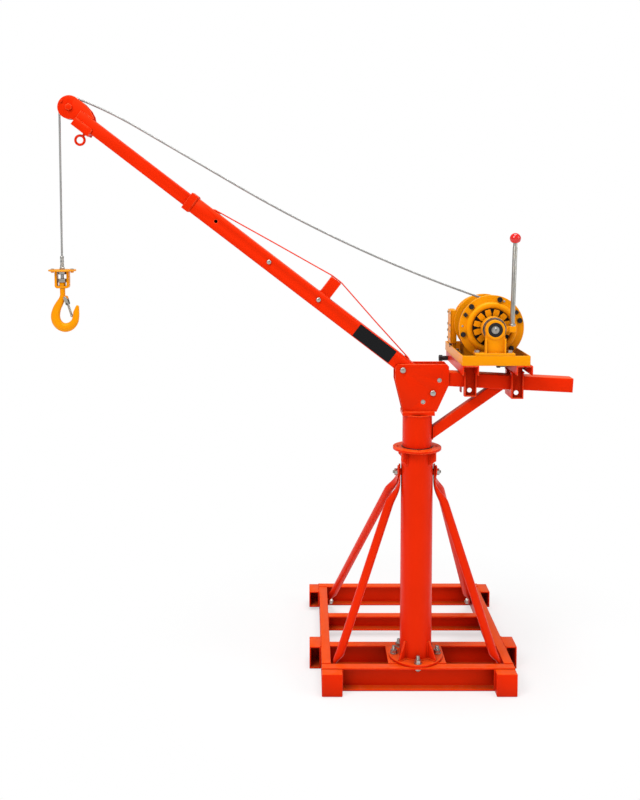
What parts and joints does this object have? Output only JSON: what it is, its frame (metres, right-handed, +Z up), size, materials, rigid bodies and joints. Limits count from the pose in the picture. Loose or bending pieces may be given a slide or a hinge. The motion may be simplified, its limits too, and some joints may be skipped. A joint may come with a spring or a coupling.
{
  "type": "portable mini crane",
  "caption": "Portable mini crane with a channel base, slewing head, luffing telescopic boom, clutch winch, wire rope and swivel load hook.",
  "frame": {"origin": "mast axis at ground level, on the tie plate under the mast", "axes": "+X from the boom side towards the winch side, +Y towards the rear channel, +Z up"},
  "size_m": [1.6539, 0.724, 1.869],
  "materials": {
    "crane_paint": "gloss",
    "winch_paint": "gloss",
    "zinc": "satin",
    "wire_rope": "satin",
    "black_bolts": "satin",
    "knob_red": "gloss"
  },
  "bodies": {
    "base": {"front_channel": "crane_paint", "second_channel": "crane_paint", "middle_channel": "crane_paint", "rear_channel": "crane_paint", "side_rails": "crane_paint", "seat_plate": "crane_paint", "bottom_plate": "crane_paint", "front_feet": "crane_paint", "side_sleeves": "crane_paint", "mast_foot_flange": "crane_paint", "mast_gussets": "crane_paint", "foot_studs": "zinc", "mast_pipe": "crane_paint", "mast_top_flange": "crane_paint", "front_braces": "crane_paint", "rear_braces": "crane_paint", "brace_bolts": "zinc"},
    "upper": {"slew_pipe": "crane_paint", "cap_plate": "crane_paint", "head_plates": "crane_paint", "pivot_bolt": "zinc", "lock_bolt": "zinc", "counter_beam": "crane_paint", "knee_strut": "crane_paint", "carrier_channels": "crane_paint", "winch_bolts": "zinc", "carrier_bolts": "black_bolts", "carrier_hangers": "crane_paint", "winch_tray": "winch_paint", "motor_body": "winch_paint", "terminal_box": "winch_paint", "box_cover": "winch_paint", "bearing_pedestal": "winch_paint", "winch_shaft": "zinc"},
    "drum": {"drum": "winch_paint", "drum_cover": "winch_paint", "cover_bolts": "black_bolts", "rope_winding": "wire_rope"},
    "clutch_lever": {"clutch_arm": "winch_paint", "clutch_rod": "zinc", "clutch_knob": "knob_red"},
    "boom": {"outer_boom": "crane_paint", "boom_collar": "crane_paint", "truss_post": "crane_paint", "truss_rod": "crane_paint", "boom_bolts": "zinc", "rope_run": "wire_rope"},
    "boom_inner": {"inner_boom": "crane_paint", "cheek_plates": "crane_paint", "tip_shoe": "crane_paint", "tip_bolts": "crane_paint", "eye_ring": "crane_paint"},
    "sheave": {"sheave": "zinc"},
    "hook_line": {"rope_drop": "wire_rope", "ferrule": "zinc", "yoke": "winch_paint"},
    "hook": {"hook": "winch_paint"},
    "latch": {"latch": "zinc"}
  },
  "joints": [
    {"name": "slew", "type": "hinge", "parent": "base", "child": "upper", "pos_m": [0, 0, 0.763], "axis": [0, 0, 1], "continuous": true},
    {"name": "boom_luff", "type": "hinge", "parent": "upper", "child": "boom", "pos_m": [-0.05, 0, 1.012], "axis": [0, 1, 0], "range_deg": [-22, 20], "deforming": ["rope_run"]},
    {"name": "boom_extend", "type": "slide", "parent": "boom", "child": "boom_inner", "axis": [-0.7934, 0, 0.6088], "range_m": [0, 0.144]},
    {"name": "sheave_spin", "type": "hinge", "parent": "boom_inner", "child": "sheave", "pos_m": [-1.08841, 0, 1.83199], "axis": [0, 1, 0], "continuous": true},
    {"name": "hook_plumb", "type": "hinge", "parent": "boom_inner", "child": "hook_line", "pos_m": [-1.08841, 0, 1.83199], "axis": [0, 1, 0], "range_deg": [-20, 22]},
    {"name": "hook_swivel", "type": "hinge", "parent": "hook_line", "child": "hook", "pos_m": [-1.12241, 0, 1.276], "axis": [0, 0, 1], "continuous": true},
    {"name": "latch_open", "type": "hinge", "parent": "hook", "child": "latch", "pos_m": [-1.11251, 0, 1.2378], "axis": [0, 1, 0], "range_deg": [0, 28], "stiffness_Nm_per_rad": 0.05, "springref_deg": -20.05},
    {"name": "drum_spin", "type": "hinge", "parent": "upper", "child": "drum", "pos_m": [0.226, 0, 1.147], "axis": [0, 1, 0], "continuous": true},
    {"name": "clutch_throw", "type": "hinge", "parent": "upper", "child": "clutch_lever", "pos_m": [0.226, 0, 1.147], "axis": [0, 1, 0], "range_deg": [-30, 30]}
  ],
  "couplings": [
    {"joint": "hook_plumb", "follows": "boom_luff", "ratio": -1}
  ]
}
